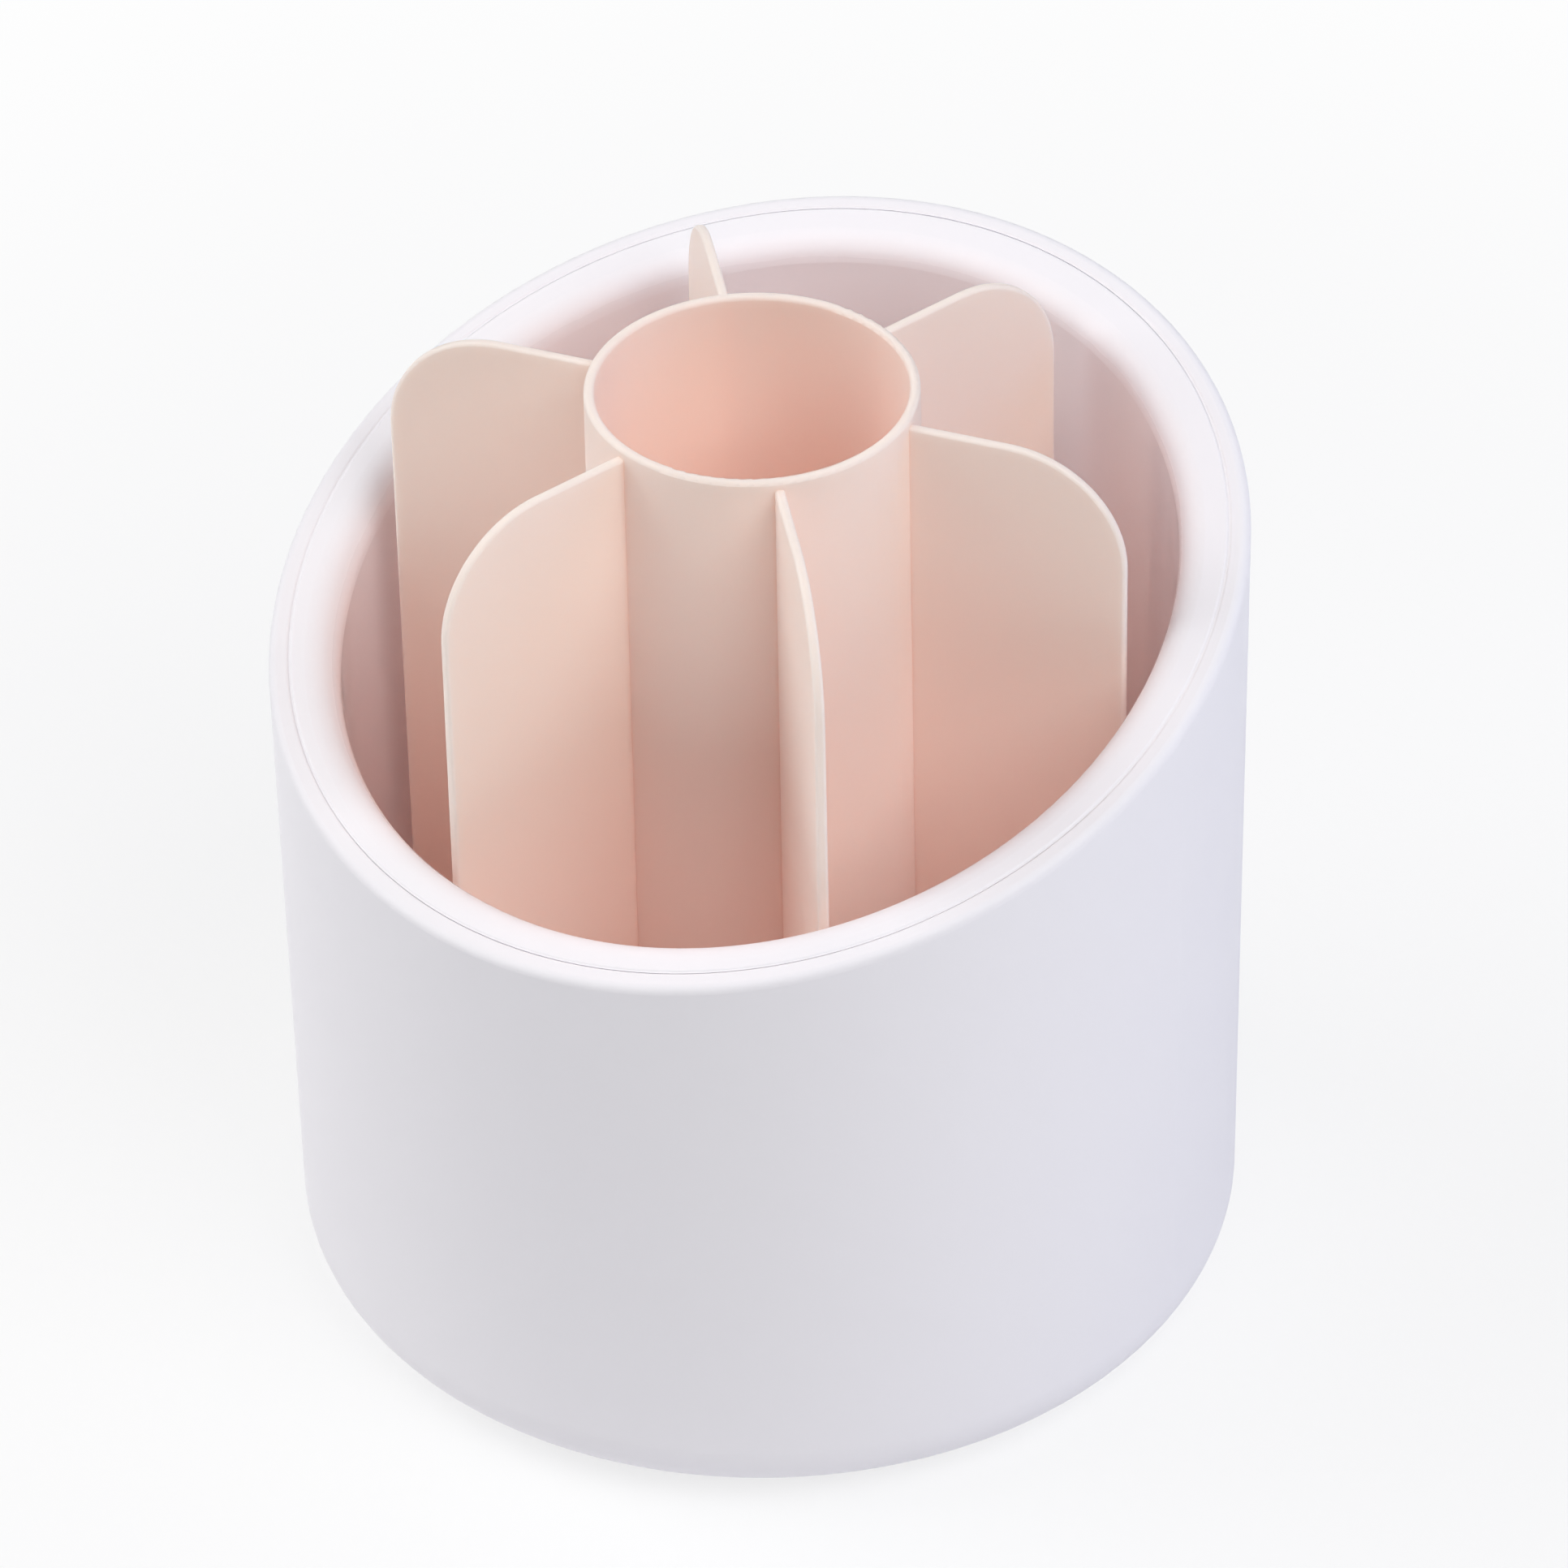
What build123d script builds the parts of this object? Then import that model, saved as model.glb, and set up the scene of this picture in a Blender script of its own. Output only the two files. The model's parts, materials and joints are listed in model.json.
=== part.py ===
from build123d import *
import math
import os

# Rotating makeup organizer: a slant-mouthed double-walled barrel and a finned insert that turns in it.
# Millimetres and degrees, +Z up. The origin lies on the table under the barrel's centre.
# The low side of the slanted mouth faces -Y.

# Barrel
barrel_diameter = 130.0
barrel_draft = 0.3
mouth_height = 107.7
mouth_slant = 17.0
rim_width = 9.4
rim_round = 1.2
seam_gap = 0.05
seam_round = 0.4
shell_wall = 2.8
shell_floor = 2.6
bottom_round = 9.0
underside_recess = 0.6

# Liner
liner_wall = 2.0
liner_floor = 2.4
liner_draft = 0.7
liner_floor_round = 3.0
flange_thickness = 2.2
mouth_round = 4.0

# Feet
foot_count = 4
foot_diameter = 10.0
foot_stand = 1.5
foot_recess = 1.0
foot_margin = 2.0
foot_round = 0.6
foot_first_angle = 45.0

# Screws that hold the liner in the shell
screw_count = 4
screw_circle = 56.0
screw_diameter = 3.0
screw_head_diameter = 5.8
screw_head_height = 2.0
screw_head_sink = 0.8
screw_bite = 5.0
screw_pad_diameter = 12.0
screw_pad_height = 2.4
screw_boss_diameter = 8.4

# Screw heads and their cross slots
head_round_share = 0.6
slot_length_share = 0.6
slot_width = 0.7
slot_depth = 0.9

# Ball race
ball_count = 12
ball_diameter = 5.0
race_inset = 9.0
race_gap = 2.8
race_clearance = 0.2
cage_width = 9.0
cage_thickness = 1.6

# Turntable and its pivot
turntable_inset = 5.5
turntable_thickness = 2.6
turntable_edge_round = 0.8
pivot_diameter = 12.0
pivot_clearance = 0.05
pivot_play = 0.3
washer_diameter = 18.0
washer_thickness = 1.0
pivot_screw_diameter = 3.4
pivot_head_diameter = 6.8
pivot_head_height = 2.2
pivot_bite = 5.5
hub_height = 5.0
hub_sides = 6

# Insert
insert_gap = 3.0
insert_height = 118.5
insert_floor = 2.0
insert_floor_round = 0.8
insert_turn = 11.2
tube_diameter = 43.8
tube_wall = 1.4
tube_draft = 0.3
tube_floor = 2.0
tube_rim_round = 0.6
fin_count = 6
fin_thickness = 1.3
fin_draft = 0.15
fin_step = 1.3
fin_corner = 16.0
fin_edge_round = 0.45
socket_wall = 2.0
socket_clearance = 0.3
socket_headroom = 0.5

# Small clearances round seated and screwed pieces
seat_clearance = 0.1
head_clearance = 0.4
washer_clearance = 0.6
thread_clearance = 0.05
screw_tip_room = 0.6

# How far blanks and cutters run past what they cut
cut_room = 5.0

# Heights of the stack, from the table up
shell_base = foot_stand
shell_floor_top = shell_base + shell_floor
pad_top = shell_floor_top + screw_pad_height
head_seat = shell_base + screw_head_sink + screw_head_height
liner_base = pad_top + screw_bite + screw_tip_room
liner_floor_top = liner_base + liner_floor
ball_height = liner_floor_top + race_gap / 2
turntable_base = liner_floor_top + race_gap
turntable_top = turntable_base + turntable_thickness
pivot_top = turntable_top + pivot_play
washer_top = pivot_top + washer_thickness
hub_top = turntable_top + hub_height
insert_base = turntable_top
insert_floor_top = insert_base + insert_floor
socket_top = hub_top + socket_headroom
tube_floor_top = socket_top + tube_floor
tube_top = insert_base + insert_height
fin_top = tube_top - fin_step

# The slanted mouth
barrel_radius = barrel_diameter / 2
slant = math.radians(mouth_slant)
blank_top = mouth_height + barrel_radius * math.tan(slant) + cut_room
mouth_plane = Plane(
    origin=(0, 0, mouth_height), x_dir=(1, 0, 0), z_dir=(0, -math.sin(slant), math.cos(slant))
)


def drafted(radius, draft, height):
    """Radius at a height of a wall that has the given radius at mouth height and widens upward."""
    return radius + (height - mouth_height) * math.tan(math.radians(draft))


def shell_outside(height):
    """Radius of the shell's outer wall at a height."""
    return drafted(barrel_radius, barrel_draft, height)


def shell_inside(height):
    """Radius of the shell's inner wall at a height."""
    return shell_outside(height) - shell_wall


def flange_edge(height):
    """Radius of the edge of the liner's flange at a height."""
    return shell_inside(height) - seam_gap


def liner_inside(height):
    """Radius of the liner's inner wall at a height."""
    return drafted(barrel_radius - rim_width, liner_draft, height)


def liner_outside(height):
    """Radius of the liner's outer wall at a height."""
    return liner_inside(height) + liner_wall


# Radii, from the barrel inwards
ball_radius = ball_diameter / 2
insert_radius = liner_inside(liner_floor_top) - insert_gap
turntable_radius = insert_radius - turntable_inset
race_radius = turntable_radius - race_inset
foot_circle_radius = shell_outside(shell_base) - bottom_round - foot_margin - foot_diameter / 2
recess_radius = foot_circle_radius - foot_diameter / 2 - foot_margin
tube_radius = tube_diameter / 2
tube_bore_radius = tube_radius - tube_wall
tube_flare = insert_height * math.tan(math.radians(tube_draft))
socket_radius = tube_bore_radius - tube_flare - socket_wall
hub_radius = socket_radius - socket_clearance / math.cos(math.pi / hub_sides)


def turned(points, rounds=()):
    """Solid turned about Z from (radius, height) points, with each (corner, radius) of rounds filleted."""
    outline = make_face(Polyline(*points, close=True))
    for corner, radius in rounds:
        vertex = outline.vertices().sort_by_distance((corner[0], corner[1], 0))[0]
        outline = fillet(vertex, radius)
    return revolve(Plane.XZ * outline, Axis.Z)


def drum(radius_at, low, high, corner):
    """Upright drum whose wall follows radius_at, with its bottom edge rounded."""
    foot = (radius_at(low), low)
    return turned([(0, low), foot, (radius_at(high), high), (0, high)], [(foot, corner)])


def column(radius, low, high):
    """Upright cylinder on the Z axis between two heights."""
    return Pos(0, 0, low) * Cylinder(radius, high - low, align=(Align.CENTER, Align.CENTER, Align.MIN))


def around(count, radius, first_angle=0.0):
    """Places at equal turns round the Z axis."""
    return [Rot(0, 0, first_angle + 360 * k / count) * Pos(radius, 0, 0) for k in range(count)]


def mouth_face(solid):
    """The flat face of a solid that lies in the slanted mouth's plane."""
    flat = solid.faces().filter_by(GeomType.PLANE)
    facing = flat.filter_by(lambda face: face.normal_at().dot(mouth_plane.z_dir) > 0.999)
    return facing.sort_by(lambda face: abs(mouth_plane.to_local_coords(face.center()).Z))[0]


def flange_root(liner):
    """The edge where the flange's flat underside meets the liner's outer wall."""
    flat = liner.faces().filter_by(GeomType.PLANE)
    under = flat.filter_by(lambda face: face.normal_at().dot(mouth_plane.z_dir) < -0.999)[0]
    return under.inner_wires()[0].edges()


screw_places = around(screw_count, screw_circle / 2)
foot_places = around(foot_count, foot_circle_radius, foot_first_angle)
ball_places = around(ball_count, race_radius)
ball_groove = Pos(0, 0, ball_height) * Torus(race_radius, ball_radius + race_clearance)


def make_outer_shell():
    """Barrel wall and bottom, cut at the slant, with foot recesses and screw wells."""
    outside = drum(shell_outside, shell_base, blank_top, bottom_round)
    inside_round = max(bottom_round - shell_wall, shell_wall)
    inside = drum(shell_inside, shell_floor_top, blank_top + cut_room, inside_round)
    shell = split(outside - inside, bisect_by=mouth_plane, keep=Keep.BOTTOM)
    shell = fillet(mouth_face(shell).outer_wire().edges(), rim_round)
    shell = fillet(mouth_face(shell).inner_wires()[0].edges(), seam_round)
    shell -= column(recess_radius, shell_base, shell_base + underside_recess)
    for place in screw_places:
        shell += place * column(screw_pad_diameter / 2, shell_floor_top, pad_top)
    for place in screw_places:
        shell -= place * column(screw_head_diameter / 2 + head_clearance, shell_base, head_seat)
        shell -= place * column(screw_diameter / 2 + seat_clearance, shell_base, pad_top)
    for place in foot_places:
        shell -= place * column(foot_diameter / 2 + seat_clearance, shell_base, shell_base + foot_recess)
    return shell


def make_inner_liner():
    """Bucket with a slanted flush flange, the lower ball race, the pivot post and the screw bosses."""
    blank = drum(flange_edge, liner_base, blank_top, liner_floor_round)
    wall = drum(liner_outside, liner_base, blank_top, liner_floor_round)
    cavity_round = max(liner_floor_round - liner_wall, liner_wall / 2)
    cavity = drum(liner_inside, liner_floor_top, blank_top + cut_room, cavity_round)
    flange_plane = mouth_plane.offset(-flange_thickness)
    under_flange = split(column(barrel_diameter, 0, blank_top), bisect_by=flange_plane, keep=Keep.BOTTOM)
    liner = split(blank, bisect_by=mouth_plane, keep=Keep.BOTTOM) - (under_flange - wall) - cavity
    liner = fillet(mouth_face(liner).outer_wire().edges(), seam_round)
    liner = fillet(mouth_face(liner).inner_wires()[0].edges(), mouth_round)
    liner = fillet(flange_root(liner), max(mouth_round - liner_wall, liner_wall))
    liner += column(pivot_diameter / 2, liner_base, pivot_top)
    for place in screw_places:
        liner += place * column(screw_boss_diameter / 2, pad_top, liner_floor_top - liner_floor / 2)
    for place in screw_places:
        liner -= place * column(screw_diameter / 2 + thread_clearance, pad_top, liner_base)
    pilot_foot = pivot_top - pivot_bite - screw_tip_room
    liner -= column(pivot_screw_diameter / 2 + thread_clearance, pilot_foot, pivot_top)
    return liner - ball_groove


def make_foot():
    """Rubber pad with a rounded tread edge."""
    radius = foot_diameter / 2
    top = foot_stand + foot_recess
    return turned([(0, 0), (radius, 0), (radius, top), (0, top)], [((radius, 0), foot_round)])


def make_screw(diameter, head_diameter, head_height, length):
    """Pan-head screw pointing up, its head's seat at height 0 and a cross slot in the head."""
    radius = diameter / 2
    head = head_diameter / 2
    crown = (head, -head_height)
    outline = [(0, -head_height), crown, (head, 0), (radius, 0), (radius, length - radius), (0, length)]
    screw = turned(outline, [(crown, head_height * head_round_share)])
    slot = Box(head_diameter * slot_length_share, slot_width, 2 * slot_depth)
    for turn in (0, 90):
        screw -= Pos(0, 0, -head_height) * Rot(0, 0, turn) * slot
    return screw


def make_turntable():
    """Disc with the upper ball race, a bored hub and the hexagonal drive that the insert fits over."""
    low_edge = (turntable_radius, turntable_base)
    high_edge = (turntable_radius, turntable_top)
    disc = turned(
        [(0, turntable_base), low_edge, high_edge, (0, turntable_top)],
        [(low_edge, turntable_edge_round), (high_edge, turntable_edge_round)],
    )
    hub = Pos(0, 0, turntable_top) * extrude(RegularPolygon(hub_radius, hub_sides), hub_height)
    table = disc + Rot(0, 0, insert_turn) * hub
    table -= column(washer_diameter / 2 + washer_clearance, turntable_top, hub_top)
    table -= column(pivot_diameter / 2 + pivot_clearance, turntable_base, turntable_top)
    return table - ball_groove


def make_bearing_cage():
    """Flat ring with a round pocket for each ball."""
    low = ball_height - cage_thickness / 2
    high = ball_height + cage_thickness / 2
    cage = column(race_radius + cage_width / 2, low, high) - column(race_radius - cage_width / 2, low, high)
    for place in ball_places:
        cage -= place * column(ball_radius + race_clearance, low, high)
    return cage


def make_pivot_washer():
    """Flat washer on the liner's post that keeps the turntable down."""
    ring = column(washer_diameter / 2, pivot_top, washer_top)
    return ring - column(pivot_screw_diameter / 2 + seat_clearance, pivot_top, washer_top)


def make_fin():
    """One divider along +X: round-cornered at the top, thicker towards the floor, edges rounded."""
    root = tube_bore_radius + tube_wall / 2
    corner = (insert_radius, fin_top)
    outline = make_face(
        Polyline((root, insert_base), (insert_radius, insert_base), corner, (root, fin_top), close=True)
    )
    outline = fillet(outline.vertices().sort_by_distance((corner[0], corner[1], 0))[0], fin_corner)
    half_top = fin_thickness / 2
    half_foot = half_top + (fin_top - insert_base) * math.tan(math.radians(fin_draft))
    foot_edge = ((-half_foot, insert_base), (half_foot, insert_base))
    top_edge = ((half_top, fin_top), (-half_top, fin_top))
    section = make_face(Polyline(*foot_edge, *top_edge, close=True))
    plate = extrude(Plane.XZ * outline, half_foot, both=True)
    fin = plate & extrude(Plane.YZ * section, insert_radius + cut_room)
    rim = fin.faces().filter_by(lambda face: abs(face.normal_at().Y) < 0.01)
    rim = rim.filter_by(lambda face: face.normal_at().X > -0.5 and face.normal_at().Z > -0.5)
    lengthwise = rim.edges().filter_by(lambda edge: abs(edge.center().Y) > half_top / 2)
    return fillet(lengthwise, fin_edge_round)


def make_brush_insert():
    """Central tube, floor and dividers as one moulding, with a hexagonal socket underneath."""
    tube = turned(
        [
            (0, insert_base),
            (tube_radius + tube_flare, insert_base),
            (tube_radius, tube_top),
            (tube_bore_radius, tube_top),
            (tube_bore_radius - tube_flare, tube_floor_top),
            (0, tube_floor_top),
        ],
        [((tube_radius, tube_top), tube_rim_round), ((tube_bore_radius, tube_top), tube_rim_round)],
    )
    floor_edge = (insert_radius, insert_floor_top)
    floor = turned(
        [(0, insert_base), (insert_radius, insert_base), floor_edge, (0, insert_floor_top)],
        [(floor_edge, insert_floor_round)],
    )
    fin = make_fin()
    fins = [Rot(0, 0, insert_turn + 360 * k / fin_count) * fin for k in range(fin_count)]
    insert = tube + floor + fins
    socket = extrude(RegularPolygon(socket_radius, hub_sides), socket_top - insert_base)
    return insert - Rot(0, 0, insert_turn) * Pos(0, 0, insert_base) * socket


def make_parts():
    """Every piece of the organizer by its name."""
    parts = {
        "outer_shell": make_outer_shell(),
        "inner_liner": make_inner_liner(),
        "turntable": make_turntable(),
        "bearing_cage": make_bearing_cage(),
        "pivot_washer": make_pivot_washer(),
        "brush_insert": make_brush_insert(),
    }
    pivot_length = washer_thickness + pivot_bite
    pivot_screw = make_screw(pivot_screw_diameter, pivot_head_diameter, pivot_head_height, pivot_length)
    parts["pivot_screw"] = Pos(0, 0, washer_top) * Rot(180, 0, 0) * pivot_screw
    ball = Pos(0, 0, ball_height) * Sphere(ball_radius)
    for number, place in enumerate(ball_places, start=1):
        parts[f"bearing_ball_{number:02d}"] = place * ball
    screw_length = pad_top - head_seat + screw_bite
    base_screw = make_screw(screw_diameter, screw_head_diameter, screw_head_height, screw_length)
    for number, place in enumerate(screw_places, start=1):
        parts[f"base_screw_{number}"] = place * Pos(0, 0, head_seat) * base_screw
    foot = make_foot()
    for number, place in enumerate(foot_places, start=1):
        parts[f"foot_{number}"] = place * foot
    return parts


os.makedirs("parts", exist_ok=True)
for name, shape in make_parts().items():
    export_step(shape, f"parts/{name}.step")
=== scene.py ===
"""Looks of the rotating makeup organizer: finishes, small fittings, studio and camera.

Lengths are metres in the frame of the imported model: +Z up, the origin on the table under the barrel's
centre, the low side of the slanted mouth towards -Y.
"""

import json
import logging
import math
from dataclasses import dataclass
from enum import Enum
from typing import Any, Dict, List, Optional, Sequence, Tuple, Union

import bmesh
import bpy
from mathutils import Matrix, Vector

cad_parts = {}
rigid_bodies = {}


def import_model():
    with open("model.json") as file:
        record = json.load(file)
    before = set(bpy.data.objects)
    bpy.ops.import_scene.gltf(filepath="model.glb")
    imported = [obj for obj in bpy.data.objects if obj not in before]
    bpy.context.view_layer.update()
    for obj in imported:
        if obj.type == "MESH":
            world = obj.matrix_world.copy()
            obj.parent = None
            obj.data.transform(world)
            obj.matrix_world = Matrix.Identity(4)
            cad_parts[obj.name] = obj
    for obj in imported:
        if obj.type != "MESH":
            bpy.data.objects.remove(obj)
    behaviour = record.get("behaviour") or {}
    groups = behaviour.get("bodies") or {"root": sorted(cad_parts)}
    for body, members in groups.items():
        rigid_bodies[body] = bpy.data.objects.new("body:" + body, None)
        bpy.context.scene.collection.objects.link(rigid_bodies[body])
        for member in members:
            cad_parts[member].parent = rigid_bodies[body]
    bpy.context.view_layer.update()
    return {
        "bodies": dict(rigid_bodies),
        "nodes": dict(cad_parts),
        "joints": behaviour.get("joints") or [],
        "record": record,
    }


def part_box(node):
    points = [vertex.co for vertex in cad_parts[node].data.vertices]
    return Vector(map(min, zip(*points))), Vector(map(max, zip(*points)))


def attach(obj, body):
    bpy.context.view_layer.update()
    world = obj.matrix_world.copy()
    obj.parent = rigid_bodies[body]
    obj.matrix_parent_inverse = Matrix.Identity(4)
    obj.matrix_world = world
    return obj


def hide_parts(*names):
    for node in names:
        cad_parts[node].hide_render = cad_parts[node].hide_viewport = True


LOG = logging.getLogger("organizer")
MM = 0.001

Triple = Tuple[float, float, float]
Point2 = Tuple[float, float]


def linear(red: float, green: float, blue: float) -> Triple:
    """Turn a screen colour into the linear colour that shaders take.

    Args:
        red: Red, 0 to 255.
        green: Green, 0 to 255.
        blue: Blue, 0 to 255.

    Returns:
        The linear red, green and blue.
    """

    def channel(value: float) -> float:
        """One channel, by the screen's own curve."""
        share = value / 255
        return share / 12.92 if share <= 0.04045 else ((share + 0.055) / 1.055) ** 2.4

    return channel(red), channel(green), channel(blue)


class Sock:
    """A shader socket that adds Math nodes when it stands in a Python expression."""

    def __init__(self, graph: "Graph", socket: bpy.types.NodeSocket) -> None:
        """Keep the socket and the graph that it belongs to.

        Args:
            graph: The graph that new nodes go into.
            socket: The output socket.
        """
        self.graph = graph
        self.socket = socket

    def _math(self, operation: str, *values: Any) -> "Sock":
        """Add one Math node.

        Args:
            operation: The Math node's operation.
            values: Its inputs, sockets or numbers.

        Returns:
            The node's output.
        """
        return self.graph.node("ShaderNodeMath", {"operation": operation}, dict(enumerate(values)))

    def __add__(self, other: Any) -> "Sock":
        """Sum."""
        return self._math("ADD", self, other)

    def __radd__(self, other: Any) -> "Sock":
        """Sum, with the number first."""
        return self._math("ADD", other, self)

    def __sub__(self, other: Any) -> "Sock":
        """Difference."""
        return self._math("SUBTRACT", self, other)

    def __mul__(self, other: Any) -> "Sock":
        """Product."""
        return self._math("MULTIPLY", self, other)

    def __or__(self, other: Any) -> "Sock":
        """The larger of two values, which joins two masks."""
        return self._math("MAXIMUM", self, other)

    def ramp(self, low: float, high: float, at_low: float = 0.0, at_high: float = 1.0) -> "Sock":
        """Smooth step between two levels.

        Args:
            low: The level where the step starts.
            high: The level where it ends.
            at_low: The value below the step.
            at_high: The value above it.

        Returns:
            The stepped value.
        """
        sockets = {"Value": self, "From Min": low, "From Max": high, "To Min": at_low, "To Max": at_high}
        return self.graph.node("ShaderNodeMapRange", {"interpolation_type": "SMOOTHSTEP"}, sockets)


SocketValue = Union[Sock, float, Sequence[float]]


class Graph:
    """A node tree with one method for every node."""

    def __init__(self, tree: bpy.types.NodeTree) -> None:
        """Empty a node tree and keep it.

        Args:
            tree: The tree of a material or a world.
        """
        self.tree = tree
        tree.nodes.clear()

    def node(
        self,
        kind: str,
        settings: Optional[Dict[str, Any]] = None,
        sockets: Optional[Dict[Union[str, int], SocketValue]] = None,
        out: Union[str, int] = 0,
    ) -> Sock:
        """Add a node, set it up and link it.

        Args:
            kind: The node's type.
            settings: Its properties, set first.
            sockets: Values or links of its inputs, by name or number.
            out: The output to return, by name or number.

        Returns:
            The chosen output.
        """
        made = self.tree.nodes.new(kind)
        for name, value in (settings or {}).items():
            setattr(made, name, value)
        for key, value in (sockets or {}).items():
            if isinstance(value, Sock):
                self.tree.links.new(value.socket, made.inputs[key])
            else:
                made.inputs[key].default_value = value
        return Sock(self, made.outputs[out]) if made.outputs else Sock(self, None)

    def place(self) -> Sock:
        """The point on the surface, in metres in the object's own frame."""
        return self.node("ShaderNodeTexCoord", out="Object")

    def noise(self, grain: float, detail: float = 2.0, place: Optional[Sock] = None) -> Sock:
        """Smooth noise around one half.

        Args:
            grain: The size of its patches, in metres.
            detail: How many finer layers it has.
            place: The point to read it at, or none for the surface's own.

        Returns:
            The noise value.
        """
        sockets = {"Vector": place or self.place(), "Scale": 1.0 / grain, "Detail": detail}
        return self.node("ShaderNodeTexNoise", {"noise_dimensions": "3D"}, sockets)

    def stretched(self, stretch: Triple) -> Sock:
        """The surface point with each axis scaled, for streaks and drawn marks.

        Args:
            stretch: The factor along each axis.

        Returns:
            The scaled point.
        """
        return self.node(
            "ShaderNodeVectorMath", {"operation": "MULTIPLY"}, {0: self.place(), 1: stretch}
        )

    def blend(self, share: SocketValue, first: SocketValue, second: SocketValue) -> Sock:
        """Mix two colours.

        Args:
            share: How much of the second.
            first: The first colour.
            second: The second colour.

        Returns:
            The mixed colour.
        """
        settings = {"data_type": "RGBA", "blend_type": "MIX"}
        return self.node(
            "ShaderNodeMix", settings, {0: share, 6: rgba(first), 7: rgba(second)}, out=2
        )


def bump(graph: Graph, height: Sock) -> Sock:
    """Turn a height into a surface normal.

    Args:
        graph: The material's graph.
        height: The height, in metres.

    Returns:
        The normal.
    """
    return graph.node("ShaderNodeBump", {}, {"Distance": 1.0, "Strength": 1.0, "Height": height})


def rgba(colour: SocketValue) -> SocketValue:
    """A colour with its alpha, or a socket as it is."""
    return colour if isinstance(colour, Sock) else (*colour, 1.0)


def new_material(name: str) -> Tuple[bpy.types.Material, Graph]:
    """Make an empty node material.

    Args:
        name: The material's name.

    Returns:
        The material and its graph.
    """
    material = bpy.data.materials.new(name)
    material.use_nodes = True
    return material, Graph(material.node_tree)


def surface(graph: Graph, sockets: Dict[Union[str, int], SocketValue]) -> None:
    """Close a material's graph with a Principled shader.

    Args:
        graph: The material's graph.
        sockets: The shader's values and links.
    """
    shader = graph.node("ShaderNodeBsdfPrincipled", {}, sockets)
    graph.node("ShaderNodeOutputMaterial", {}, {"Surface": shader})


@dataclass(frozen=True)
class BelowPlane:
    """What lies below a plane that rises towards +Y."""

    height: float
    slope: float
    fade: float

    def mask(self, graph: Graph) -> Sock:
        """One below the plane, fading out just under it.

        Args:
            graph: The material's graph.

        Returns:
            The mask.
        """
        place = graph.place()
        along, up = (graph.node("ShaderNodeSeparateXYZ", {}, {0: place}, out=axis) for axis in "YZ")
        rise = math.tan(math.radians(self.slope))
        return (up - along * rise - self.height).ramp(-self.fade, 0.0, 1.0, 0.0)


@dataclass(frozen=True)
class MouldedPlastic:
    """Injection-moulded plastic: pigment clouds, a faint mould grain and soft handling marks.

    It may have a zone with a roughness of its own, and light may soak into it over soak_depth.
    The sheen is how much it mirrors, with one half for common plastic.
    """

    name: str
    colour: Triple
    roughness: float
    roughness_swing: float
    grain_size: float
    grain_depth: float
    wave_depth: float = 0.0
    cloud_share: float = 0.06
    zone: Optional[BelowPlane] = None
    zone_roughness: Optional[float] = None
    sheen: float = 0.5
    soak: float = 0.0
    soak_depth: float = 0.0
    soak_reach: Triple = (1.0, 1.0, 1.0)
    cloud_size: float = 38 * MM
    speck_size: float = 0.9 * MM
    speck_share: float = 0.4
    shade_power: float = 1.5
    touch_size: float = 11 * MM
    drag_size: float = 1.6 * MM
    drag_stretch: Triple = (1.0, 1.0, 0.06)
    drag_swing: float = 0.05
    wave_size: float = 17 * MM
    refraction: float = 1.49

    def material(self) -> bpy.types.Material:
        """Build the finish.

        Returns:
            The material.
        """
        material, graph = new_material(self.name)
        rough: SocketValue = self.roughness
        if self.zone:
            rough = self.roughness + self.zone.mask(graph) * (self.zone_roughness - self.roughness)
        specks = graph.noise(self.speck_size, 2.0) * self.speck_share
        clouds = graph.noise(self.cloud_size, 3.0).ramp(0.35, 0.7) + specks
        shade = tuple(channel ** self.shade_power for channel in self.colour)
        colour = graph.blend(clouds * self.cloud_share, self.colour, shade)
        touch = graph.noise(self.touch_size, 4.0).ramp(0.42, 0.66)
        drag = graph.noise(self.drag_size, 2.0, graph.stretched(self.drag_stretch))
        rough = rough + (touch - 0.5) * self.roughness_swing + (drag - 0.5) * self.drag_swing
        grain = graph.noise(self.grain_size, 3.0) * self.grain_depth
        wave = graph.noise(self.wave_size, 1.0) * self.wave_depth
        sockets = {
            "Base Color": colour,
            "Roughness": rough,
            "Normal": bump(graph, grain + wave),
            "IOR": self.refraction,
            "Specular IOR Level": self.sheen,
        }
        if self.soak:
            sockets["Subsurface Weight"] = self.soak
            sockets["Subsurface Scale"] = self.soak_depth
            sockets["Subsurface Radius"] = self.soak_reach
        surface(graph, sockets)
        return material


@dataclass(frozen=True)
class Steel:
    """Plated or polished steel with fine drawn marks."""

    name: str
    colour: Triple
    roughness: float
    scratch: float
    tarnish_size: float = 2.2 * MM
    tarnish_share: float = 0.35
    tarnish_shade: float = 0.72
    tarnish_dulling: float = 0.06
    mark_size: float = 0.16 * MM
    mark_stretch: Triple = (1.0, 0.08, 1.0)
    mark_depth: float = 0.002 * MM

    def material(self) -> bpy.types.Material:
        """Build the finish.

        Returns:
            The material.
        """
        material, graph = new_material(self.name)
        tarnish = graph.noise(self.tarnish_size, 3.0).ramp(0.4, 0.75)
        dull = tuple(self.tarnish_shade * channel for channel in self.colour)
        colour = graph.blend(tarnish * self.tarnish_share, self.colour, dull)
        marks = graph.noise(self.mark_size, 2.0, graph.stretched(self.mark_stretch))
        rough = self.roughness + (marks - 0.5) * self.scratch + tarnish * self.tarnish_dulling
        normal = bump(graph, marks * self.mark_depth)
        surface(graph, {"Base Color": colour, "Metallic": 1.0, "Roughness": rough, "Normal": normal})
        return material


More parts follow.
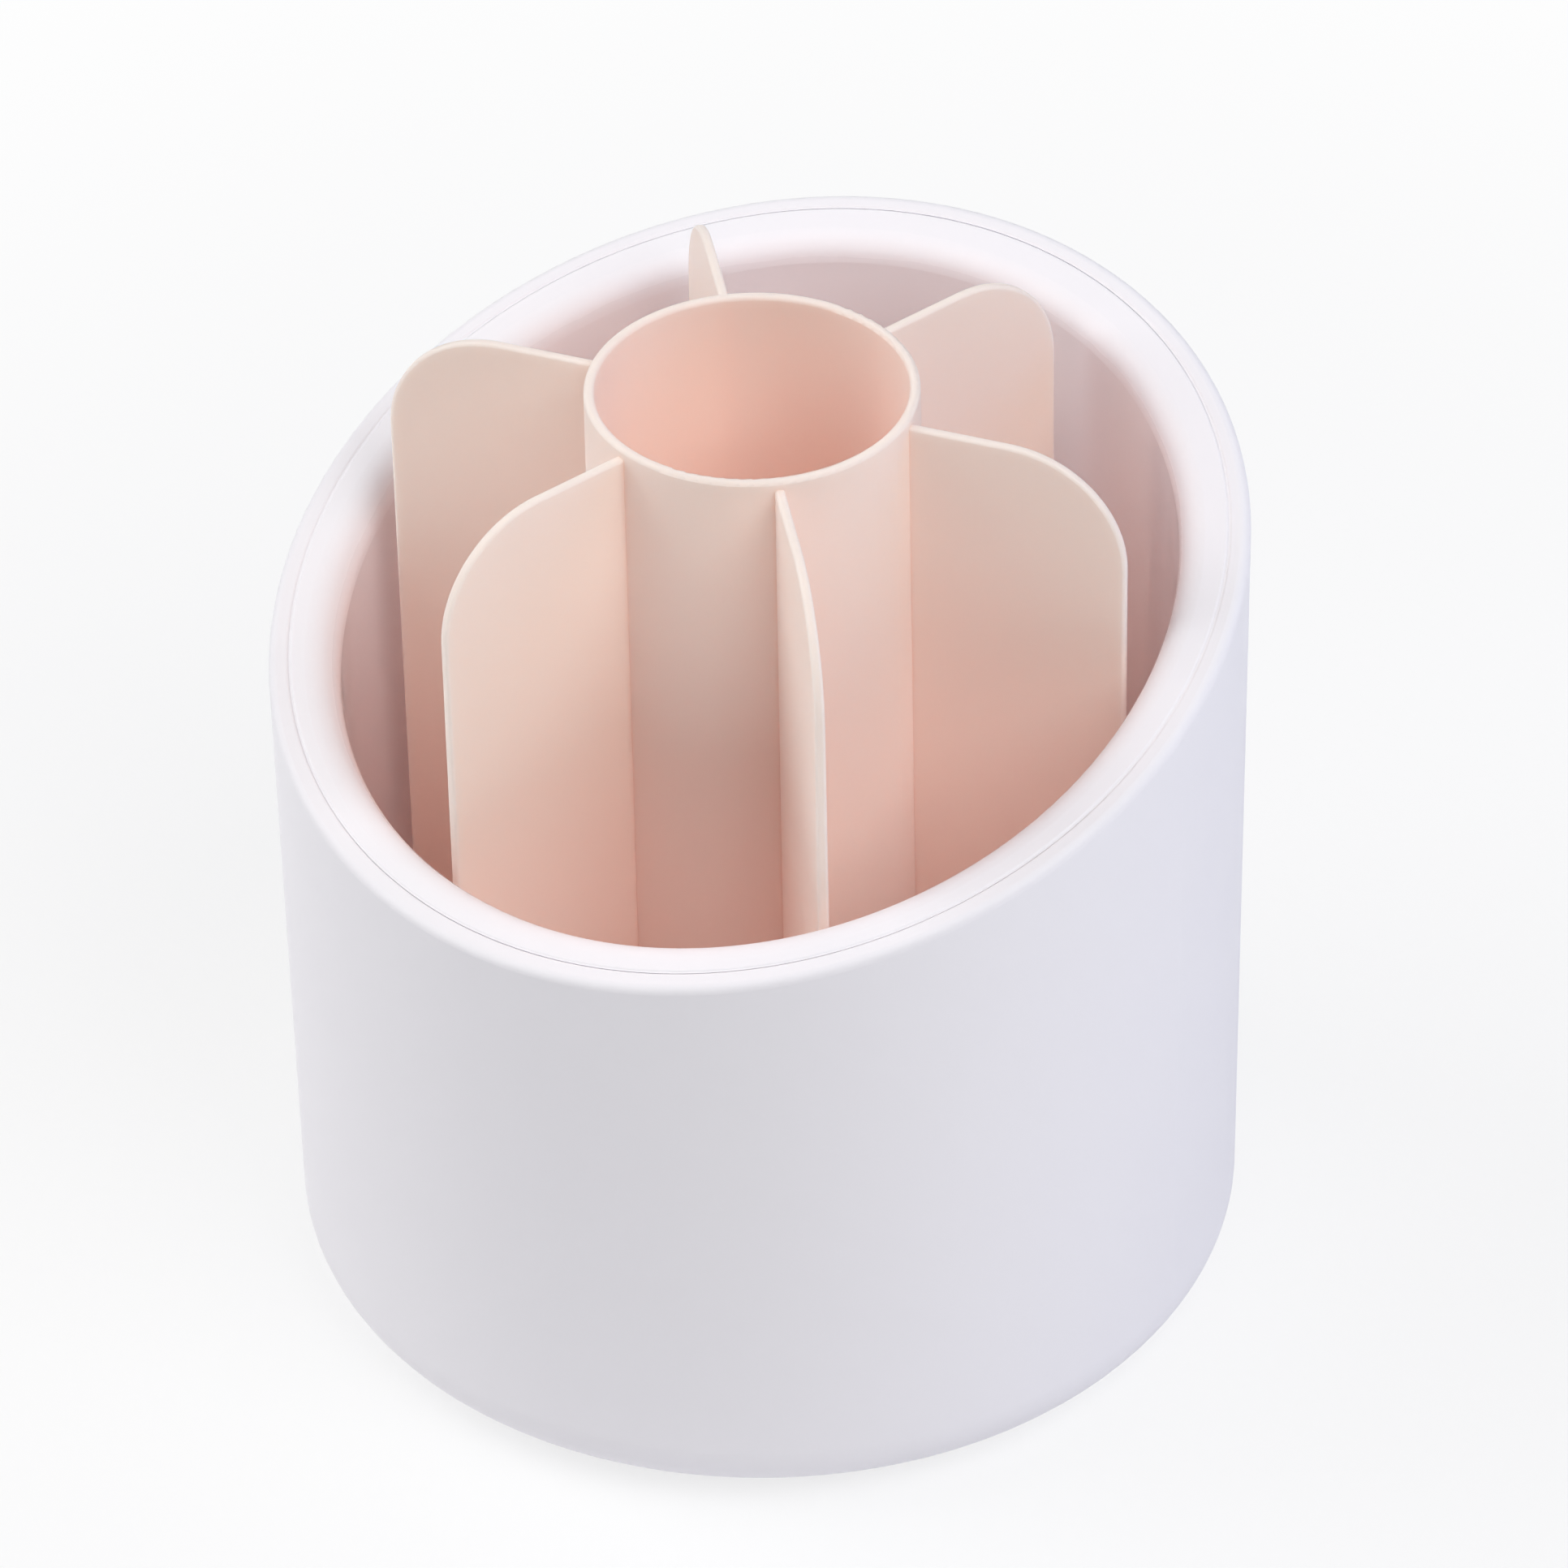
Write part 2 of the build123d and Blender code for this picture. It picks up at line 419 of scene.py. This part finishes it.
@dataclass(frozen=True)
class Rubber:
    """Soft grey rubber with a dusty bloom."""

    name: str
    colour: Triple
    roughness: float = 0.78
    dust_colour: Triple = (0.62, 0.61, 0.59)
    dust_size: float = 1.4 * MM
    dust_share: float = 0.3
    dust_dulling: float = 0.15
    grain_size: float = 0.22 * MM
    grain_depth: float = 0.02 * MM

    def material(self) -> bpy.types.Material:
        """Build the finish.

        Returns:
            The material.
        """
        material, graph = new_material(self.name)
        dust = graph.noise(self.dust_size, 4.0).ramp(0.45, 0.75)
        colour = graph.blend(dust * self.dust_share, self.colour, self.dust_colour)
        rough = self.roughness + dust * self.dust_dulling
        normal = bump(graph, graph.noise(self.grain_size, 3.0) * self.grain_depth)
        surface(graph, {"Base Color": colour, "Roughness": rough, "Normal": normal})
        return material


class Finish(Enum):
    """The finishes of the organizer, by what they are on."""

    SHELL = MouldedPlastic(
        "shell_white", linear(244, 242, 246), 0.6, 0.12, 0.45 * MM, 0.0015 * MM, 0.02 * MM, sheen=0.3,
    )
    LINER = MouldedPlastic(
        "liner_white", linear(244, 242, 246), 0.62, 0.08, 0.6 * MM, 0.0006 * MM, 0.015 * MM, sheen=0.65,
        zone=BelowPlane(107.2 * MM, 17.0, 2.5 * MM), zone_roughness=0.1,
    )
    INSERT = MouldedPlastic(
        "insert_pink", linear(254, 230, 221), 0.5, 0.1, 0.4 * MM, 0.0015 * MM, 0.012 * MM, sheen=0.2,
        soak=1.0, soak_depth=1.5 * MM,
    )
    TURNTABLE = MouldedPlastic("turntable_white", linear(232, 231, 230), 0.5, 0.12, 0.5 * MM, 0.003 * MM)
    CAGE = MouldedPlastic("cage_natural", linear(214, 211, 202), 0.5, 0.1, 0.5 * MM, 0.003 * MM)
    BALL = Steel("ball_steel", linear(224, 224, 226), 0.08, 0.05)
    PLATED = Steel("plated_steel", linear(206, 206, 204), 0.26, 0.2)
    FOOT = Rubber("foot_rubber", linear(176, 176, 178))


class Wardrobe:
    """Makes each finish once and puts it on pieces."""

    def __init__(self) -> None:
        """Start with no material made."""
        self.made: Dict[Finish, bpy.types.Material] = {}

    def dress(self, piece: bpy.types.Object, finish: Finish) -> None:
        """Give a piece one finish all over.

        Args:
            piece: The object to dress.
            finish: Its finish.
        """
        if finish not in self.made:
            self.made[finish] = finish.value.material()
        piece.data.materials.clear()
        piece.data.materials.append(self.made[finish])
        LOG.info("%s is dressed in %s", piece.name, finish.value.name)


Ring = List[Vector]


def circle(radius: float, height: float, around: int) -> Ring:
    """A level ring of points about the Z axis.

    Args:
        radius: Its radius.
        height: Its height.
        around: How many points it has.

    Returns:
        The points, in order.
    """
    turns = (2 * math.pi * k / around for k in range(around))
    return [Vector((radius * math.cos(turn), radius * math.sin(turn), height)) for turn in turns]


def ring_mesh(
    name: str, rings: Sequence[Ring], place: Matrix, crease: float = 32.0, endless: bool = False
) -> bpy.types.Object:
    """Closed piece through rings of points, each joined to the next, with a fan over both ends.

    Args:
        name: The piece's name.
        rings: The rings, in order along the piece.
        place: Where the piece goes.
        crease: Edges that turn more than this many degrees stay sharp.
        endless: Whether the last ring is joined to the first, in place of the fans.

    Returns:
        The new object.
    """
    form = bmesh.new()
    loops = [[form.verts.new(point) for point in ring] for ring in rings]
    for lower, upper in zip(loops, loops[1:] + loops[:1] if endless else loops[1:]):
        for k, vertex in enumerate(lower):
            after = (k + 1) % len(lower)
            form.faces.new((vertex, lower[after], upper[after], upper[k]))
    for loop in () if endless else (loops[0], loops[-1]):
        middle = form.verts.new(sum((vertex.co for vertex in loop), Vector()) / len(loop))
        for k, vertex in enumerate(loop):
            form.faces.new((vertex, loop[(k + 1) % len(loop)], middle))
    bmesh.ops.recalc_face_normals(form, faces=form.faces)
    for face in form.faces:
        face.smooth = True
    for edge in form.edges:
        edge.smooth = edge.calc_face_angle(0.0) < math.radians(crease)
    mesh = bpy.data.meshes.new(name)
    form.to_mesh(mesh)
    form.free()
    mesh.transform(place)
    piece = bpy.data.objects.new(name, mesh)
    bpy.context.scene.collection.objects.link(piece)
    return piece


@dataclass(frozen=True)
class TappingScrew:
    """Pan-head self-tapping screw: round-edged head, tapered cross recess, coarse thread and blunt point.

    Its axis points up, with the head's seat at height 0 and the thread above it.
    """

    diameter: float
    head_diameter: float
    head_height: float
    length: float
    pitch: float = 1.12 * MM
    core_share: float = 0.74
    edge_share: float = 0.6
    recess_reach: float = 0.62
    recess_depth: float = 1.0 * MM
    recess_half_width: float = 0.36 * MM
    recess_wall: float = 0.12 * MM
    neck: float = 0.5 * MM
    point: float = 1.5 * MM
    point_share: float = 0.12
    ridge_half_share: float = 0.24
    around: int = 48
    head_rings: int = 15
    thread_rows: int = 56

    def build(self, name: str, place: Matrix) -> bpy.types.Object:
        """Make the screw.

        Args:
            name: The piece's name.
            place: Where its seat goes and how it is turned.

        Returns:
            The new object.
        """
        return ring_mesh(name, self._head() + self._shank(), place)

    def _head(self) -> List[Ring]:
        """Go from the middle of the head's crown out and round to its seat.

        Returns:
            The rings.
        """
        radius = self.head_diameter / 2
        rings = []
        for step in range(1, self.head_rings + 1):
            ring = circle(radius * step / self.head_rings, 0.0, self.around)
            for point in ring:
                point.z = self._crown(point.xy.length) + self._recess(point.x, point.y)
            rings.append(ring)
        rings.append(circle(radius, 0.0, self.around))
        return rings

    def _crown(self, reach: float) -> float:
        """Shape the head's outside.

        Args:
            reach: The distance from the screw's axis.

        Returns:
            The crown's height there.
        """
        edge = self.head_height * self.edge_share
        past = max(0.0, reach - (self.head_diameter / 2 - edge))
        return -self.head_height + edge - math.sqrt(max(0.0, edge * edge - past * past))

    def _recess(self, across: float, along: float) -> float:
        """Shape the cross recess.

        Args:
            across: Where on the crown, along one arm of the cross.
            along: Where on the crown, along the other arm.

        Returns:
            The recess's depth there.
        """
        depth = 0.0
        reach = self.recess_reach * self.head_diameter / 2
        for out, aside in ((across, along), (along, across)):
            wall = min(1.0, max(0.0, (self.recess_half_width - abs(aside)) / self.recess_wall + 0.5))
            depth = max(depth, wall * self.recess_depth * max(0.0, 1.0 - (abs(out) / reach) ** 2))
        return depth

    def _shank(self) -> List[Ring]:
        """Go from under the head along the thread to the point.

        Returns:
            The rings.
        """
        core, crest = self.core_share * self.diameter / 2, self.diameter / 2
        rings = []
        for row in range(self.thread_rows + 1):
            height = self.length * row / self.thread_rows
            ring = circle(1.0, height, self.around)
            for k, point in enumerate(ring):
                phase = (height / self.pitch - k / self.around) % 1.0
                ridge = max(0.0, 1.0 - abs(phase - 0.5) / self.ridge_half_share)
                ridge *= min(1.0, max(0.0, (height - self.neck) / (0.5 * self.pitch)))
                taper = min(1.0, max(self.point_share, (self.length - height) / self.point))
                point.xy *= (core + (crest - core) * ridge) * taper
            rings.append(ring)
        return rings


@dataclass(frozen=True)
class RubberFoot:
    """Round rubber foot with grooved tread rings and a rounded edge, its tread at height 0."""

    diameter: float = 10.0 * MM
    height: float = 2.5 * MM
    edge: float = 0.6 * MM
    groove_radii: Tuple[float, ...] = (1.3 * MM, 2.5 * MM, 3.7 * MM)
    groove_width: float = 0.5 * MM
    groove_depth: float = 0.35 * MM
    groove_slope: float = 0.12 * MM
    middle: float = 0.5 * MM
    bevel: float = 0.15 * MM
    edge_steps: int = 6
    around: int = 48

    def build(self, name: str, place: Matrix) -> bpy.types.Object:
        """Make the foot.

        Args:
            name: The piece's name.
            place: Where it stands.

        Returns:
            The new object.
        """
        radius = self.diameter / 2
        line: List[Point2] = [(self.middle, 0.0)]
        for groove in self.groove_radii:
            far = groove + self.groove_width
            line += [(groove, 0.0), (groove + self.groove_slope, self.groove_depth)]
            line += [(far, self.groove_depth), (far + self.groove_slope, 0.0)]
        for step in range(self.edge_steps + 1):
            turn = math.pi / 2 * step / self.edge_steps
            line.append((radius - self.edge * (1 - math.sin(turn)), self.edge * (1 - math.cos(turn))))
        line += [(radius, self.height - self.bevel), (radius - self.bevel, self.height)]
        line.append((self.middle, self.height))
        return ring_mesh(name, [circle(reach, rise, self.around) for reach, rise in line], place)


@dataclass(frozen=True)
class GateNib:
    """The broken-off sprue left in the recess under the barrel: a low nib in a shallow dish.

    Its section is given as pairs: a share of the radius, and how far above the floor's underside.
    """

    radius: float = 1.6 * MM
    seat: float = 2.1 * MM
    section: Tuple[Point2, ...] = (
        (0.2, -0.22 * MM),
        (0.42, -0.32 * MM),
        (0.56, -0.25 * MM),
        (0.72, -0.1 * MM),
        (1.0, -0.02 * MM),
        (1.0, 0.05 * MM),
    )
    around: int = 32

    def build(self, name: str) -> bpy.types.Object:
        """Make the nib on the barrel's axis.

        Args:
            name: The piece's name.

        Returns:
            The new object.
        """
        rings = [circle(share * self.radius, self.seat + rise, self.around) for share, rise in self.section]
        return ring_mesh(name, rings, Matrix.Identity(4))


@dataclass(frozen=True)
class WeldBead:
    """The fine bead that fills the seam between shell and liner, just below the slanted mouth's plane.

    Its section is given as pairs: how far out from the seam's middle, and how far below the plane.
    """

    seam_radius: float = 62.175 * MM
    widening: float = 0.3
    mouth_height: float = 107.7 * MM
    slant: float = 17.0
    section: Tuple[Point2, ...] = (
        (-0.15 * MM, 0.11 * MM),
        (0.0, 0.1 * MM),
        (0.15 * MM, 0.11 * MM),
        (0.09 * MM, 0.17 * MM),
        (0.03 * MM, 0.3 * MM),
        (-0.03 * MM, 0.3 * MM),
        (-0.09 * MM, 0.17 * MM),
    )
    around: int = 180

    def build(self, name: str) -> bpy.types.Object:
        """Make the bead in its seam.

        Args:
            name: The piece's name.

        Returns:
            The new object.
        """
        slant = math.radians(self.slant)
        rise, flat = math.tan(slant), math.cos(slant)
        upright = Vector((0.0, -math.sin(slant), flat))
        rings = []
        for k in range(self.around):
            turn = 2 * math.pi * k / self.around
            climb = rise * self.seam_radius * math.sin(turn)
            radius = self.seam_radius + climb * math.tan(math.radians(self.widening))
            east, north = radius * math.cos(turn), radius * math.sin(turn)
            spot = Vector((east, north, self.mouth_height + rise * north))
            out = Vector((-north, east, rise * east)).normalized().cross(upright)
            down = Vector((0.0, 0.0, -1.0 / flat))
            rings.append([spot + out * aside + down * depth for aside, depth in self.section])
        return ring_mesh(name, rings, Matrix.Identity(4), endless=True)


@dataclass(frozen=True)
class Barrel:
    """The white double wall: shell, liner, their screws and feet."""

    shell: str = "outer_shell"
    liner: str = "inner_liner"
    body: str = "housing"
    screw: TappingScrew = TappingScrew(3.0 * MM, 5.8 * MM, 2.0 * MM, 7.2 * MM)
    screw_count: int = 4
    screw_seat: float = 4.3 * MM
    screw_turns: Tuple[float, ...] = (12.0, 71.0, 38.0, 5.0)
    foot: RubberFoot = RubberFoot()
    foot_count: int = 4
    nib: GateNib = GateNib()
    bead: WeldBead = WeldBead()

    def dress(self, nodes: Dict[str, bpy.types.Object], wardrobe: Wardrobe) -> None:
        """Put finishes on the walls and fit the screws, the feet, the nib and the bead.

        Args:
            nodes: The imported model's nodes by name.
            wardrobe: The finishes.
        """
        wardrobe.dress(nodes[self.shell], Finish.SHELL)
        wardrobe.dress(nodes[self.liner], Finish.LINER)
        for number in range(1, self.screw_count + 1):
            spot = middle_of(nodes[f"base_screw_{number}"])
            spot.z = self.screw_seat
            turn = Matrix.Rotation(math.radians(self.screw_turns[number - 1]), 4, "Z")
            piece = self.screw.build(f"barrel_screw_{number}", Matrix.Translation(spot) @ turn)
            fit(piece, self.body, f"base_screw_{number}")
            wardrobe.dress(piece, Finish.PLATED)
        for number in range(1, self.foot_count + 1):
            spot = middle_of(nodes[f"foot_{number}"])
            spot.z = 0.0
            piece = self.foot.build(f"rubber_foot_{number}", Matrix.Translation(spot))
            fit(piece, self.body, f"foot_{number}")
            wardrobe.dress(piece, Finish.FOOT)
        for piece in (self.nib.build("gate_nib"), self.bead.build("rim_weld_bead")):
            fit(piece, self.body)
            wardrobe.dress(piece, Finish.SHELL)


def middle_of(node: bpy.types.Object) -> Vector:
    """The middle of a node's box.

    Args:
        node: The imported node.

    Returns:
        The point, in metres.
    """
    low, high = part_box(node.name)
    return (Vector(low) + Vector(high)) / 2


def fit(piece: bpy.types.Object, body: str, node: Optional[str] = None) -> None:
    """Mount a new piece on a body.

    Args:
        piece: The piece.
        body: The body that it moves with.
        node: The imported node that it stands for, if any.
    """
    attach(piece, body)
    if node:
        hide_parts(node)


@dataclass(frozen=True)
class Bearing:
    """What the insert turns on: turntable, balls in their cage and the pivot."""

    ball_count: int = 12
    screw: TappingScrew = TappingScrew(3.4 * MM, 6.8 * MM, 2.2 * MM, 6.5 * MM)
    screw_seat: float = 21.2 * MM
    screw_turn: float = 27.0

    def dress(self, nodes: Dict[str, bpy.types.Object], wardrobe: Wardrobe) -> None:
        """Put finishes on the bearing's nodes and fit the pivot's screw.

        Args:
            nodes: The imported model's nodes by name.
            wardrobe: The finishes.
        """
        wardrobe.dress(nodes["turntable"], Finish.TURNTABLE)
        wardrobe.dress(nodes["bearing_cage"], Finish.CAGE)
        wardrobe.dress(nodes["pivot_washer"], Finish.PLATED)
        place = Matrix.Translation((0.0, 0.0, self.screw_seat)) @ Matrix.Rotation(math.pi, 4, "X")
        place = place @ Matrix.Rotation(math.radians(self.screw_turn), 4, "Z")
        piece = self.screw.build("pivot_tapping_screw", place)
        fit(piece, "housing", "pivot_screw")
        wardrobe.dress(piece, Finish.PLATED)
        for number in range(1, self.ball_count + 1):
            wardrobe.dress(nodes[f"bearing_ball_{number:02d}"], Finish.BALL)


@dataclass(frozen=True)
class Insert:
    """The pink moulding that lifts out."""

    node: str = "brush_insert"

    def dress(self, nodes: Dict[str, bpy.types.Object], wardrobe: Wardrobe) -> None:
        """Put the pink finish on the insert.

        Args:
            nodes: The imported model's nodes by name.
            wardrobe: The finishes.
        """
        wardrobe.dress(nodes[self.node], Finish.INSERT)


@dataclass(frozen=True)
class Softbox:
    """A square studio lamp that points at the object."""

    name: str
    azimuth: float
    elevation: float
    distance: float
    size: float
    power: float
    colour: Triple

    def build(self, aim: Vector) -> None:
        """Hang the lamp.

        Args:
            aim: The point it shines at.
        """
        lamp = bpy.data.lights.new(self.name, "AREA")
        lamp.shape = "SQUARE"
        lamp.size = self.size
        lamp.energy = self.power
        lamp.color = self.colour
        thing = bpy.data.objects.new(self.name, lamp)
        bpy.context.scene.collection.objects.link(thing)
        away = direction(self.azimuth, self.elevation)
        thing.location = aim + away * self.distance
        thing.rotation_euler = away.to_track_quat("Z", "Y").to_euler()


def direction(azimuth: float, elevation: float) -> Vector:
    """The way from the object to a viewer.

    Args:
        azimuth: Degrees round from -Y towards +X.
        elevation: Degrees above the table.

    Returns:
        The unit vector.
    """
    turn, rise = math.radians(azimuth), math.radians(elevation)
    return Vector((math.sin(turn) * math.cos(rise), -math.cos(turn) * math.cos(rise), math.sin(rise)))


@dataclass(frozen=True)
class PhotoCamera:
    """The camera of the photograph: a long lens above and to the right of the mouth's low side."""

    azimuth: float = 32.67
    elevation: float = 37.72
    distance: float = 1.170
    centre_height: float = 0.06325
    aim_right: float = 0.0031
    aim_up: float = 0.0080
    roll: float = 1.19
    lens: float = 199.0

    def build(self) -> bpy.types.Object:
        """Set up the scene's camera.

        Returns:
            The camera object.
        """
        back = direction(self.azimuth, self.elevation)
        right = Vector((0, 0, 1)).cross(back).normalized()
        centre = Vector((0, 0, self.centre_height))
        stand = centre + back * self.distance
        aim = centre + right * self.aim_right + back.cross(right) * self.aim_up
        towards = (stand - aim).normalized()
        level = Vector((0, 0, 1)).cross(towards).normalized()
        turn = Matrix.Rotation(math.radians(-self.roll), 3, towards)
        across = turn @ level
        frame = Matrix((across, towards.cross(across), towards)).transposed()
        camera = bpy.data.cameras.new("photo_camera")
        camera.lens = self.lens
        camera.clip_end = 20.0
        thing = bpy.data.objects.new("photo_camera", camera)
        bpy.context.scene.collection.objects.link(thing)
        thing.matrix_world = Matrix.Translation(stand) @ frame.to_4x4()
        bpy.context.scene.camera = thing
        return thing


@dataclass(frozen=True)
class Studio:
    """White room: pale floor that keeps the shadow, soft lamps and an even sky."""

    floor_radius: float = 3.0
    floor_colour: Triple = (0.88, 0.88, 0.89)
    shadow_share: float = 0.75
    fade_near: float = 0.14
    fade_far: float = 0.42
    sky_strength: float = 0.12
    sky_colour: Triple = (0.97, 0.98, 1.0)
    aim_height: float = 0.07
    bounces: int = 12
    white: Triple = (1.0, 1.0, 1.0)
    lamps: Tuple[Softbox, ...] = (
        Softbox("key_softbox", 74.0, 50.0, 1.3, 0.9, 8.9, (1.0, 0.995, 0.99)),
        Softbox("fill_softbox", -60.0, 52.0, 1.3, 0.9, 4.4, (1.0, 0.995, 0.99)),
        Softbox("left_softbox", -70.0, 27.0, 1.2, 0.9, 5.2, (1.0, 1.0, 1.0)),
        Softbox("front_softbox", 33.0, 60.0, 1.3, 0.9, 1.8, (1.0, 1.0, 1.0)),
        Softbox("back_softbox", 187.0, 51.0, 1.3, 1.0, 1.0, (1.0, 1.0, 1.0)),
        Softbox("cool_softbox", 124.0, 22.0, 1.2, 0.7, 2.5, (0.6, 0.68, 1.0)),
    )

    def build(self) -> None:
        """Lay the floor, light the room and set the view."""
        self._floor()
        self._sky()
        for lamp in self.lamps:
            lamp.build(Vector((0, 0, self.aim_height)))
        bpy.context.scene.view_settings.view_transform = "Standard"
        bpy.context.scene.cycles.diffuse_bounces = self.bounces

    def _floor(self) -> None:
        """A round pale floor whose far part fades into white."""
        mesh = bpy.data.meshes.new("studio_floor")
        form = bmesh.new()
        bmesh.ops.create_circle(form, cap_ends=True, segments=96, radius=self.floor_radius)
        form.to_mesh(mesh)
        form.free()
        floor = bpy.data.objects.new("studio_floor", mesh)
        bpy.context.scene.collection.objects.link(floor)
        material, graph = new_material("floor_white")
        paper = graph.node("ShaderNodeBsdfDiffuse", {}, {"Color": rgba(self.floor_colour)})
        glow = graph.node("ShaderNodeEmission", {}, {"Color": rgba(self.white), "Strength": 1.0})
        reach = graph.node("ShaderNodeVectorMath", {"operation": "LENGTH"}, {0: graph.place()}, out="Value")
        far = reach.ramp(self.fade_near, self.fade_far, self.shadow_share, 1.0)
        seen = self._seen(graph)
        mixed = graph.node("ShaderNodeMixShader", {}, {0: far * seen, 1: paper, 2: glow})
        graph.node("ShaderNodeOutputMaterial", {}, {"Surface": mixed})
        mesh.materials.append(material)

    @staticmethod
    def _seen(graph: Graph) -> Sock:
        """One where a ray from the camera, a reflection or glass looks at the surface.

        Args:
            graph: The graph to read it in.

        Returns:
            The mask.
        """
        camera = graph.node("ShaderNodeLightPath", out="Is Camera Ray")
        glossy = graph.node("ShaderNodeLightPath", out="Is Glossy Ray")
        glass = graph.node("ShaderNodeLightPath", out="Is Transmission Ray")
        return camera | glossy | glass

    def _sky(self) -> None:
        """Even light from all round, white where it is looked at."""
        world = bpy.data.worlds.new("studio_sky")
        world.use_nodes = True
        bpy.context.scene.world = world
        graph = Graph(world.node_tree)
        light = graph.node(
            "ShaderNodeBackground", {}, {"Color": rgba(self.sky_colour), "Strength": self.sky_strength}
        )
        white = graph.node("ShaderNodeBackground", {}, {"Color": rgba(self.white), "Strength": 1.0})
        mixed = graph.node("ShaderNodeMixShader", {}, {0: self._seen(graph), 1: light, 2: white})
        graph.node("ShaderNodeOutputWorld", {}, {"Surface": mixed})


def main() -> None:
    """Load the frame, dress every piece and set up the studio."""
    logging.basicConfig(level=logging.INFO, format="%(name)s: %(message)s")
    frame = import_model()
    nodes = frame["nodes"]
    wardrobe = Wardrobe()
    for assembly in (Barrel(), Bearing(), Insert()):
        assembly.dress(nodes, wardrobe)
    Studio().build()
    PhotoCamera().build()


if __name__ == "__main__":
    main()
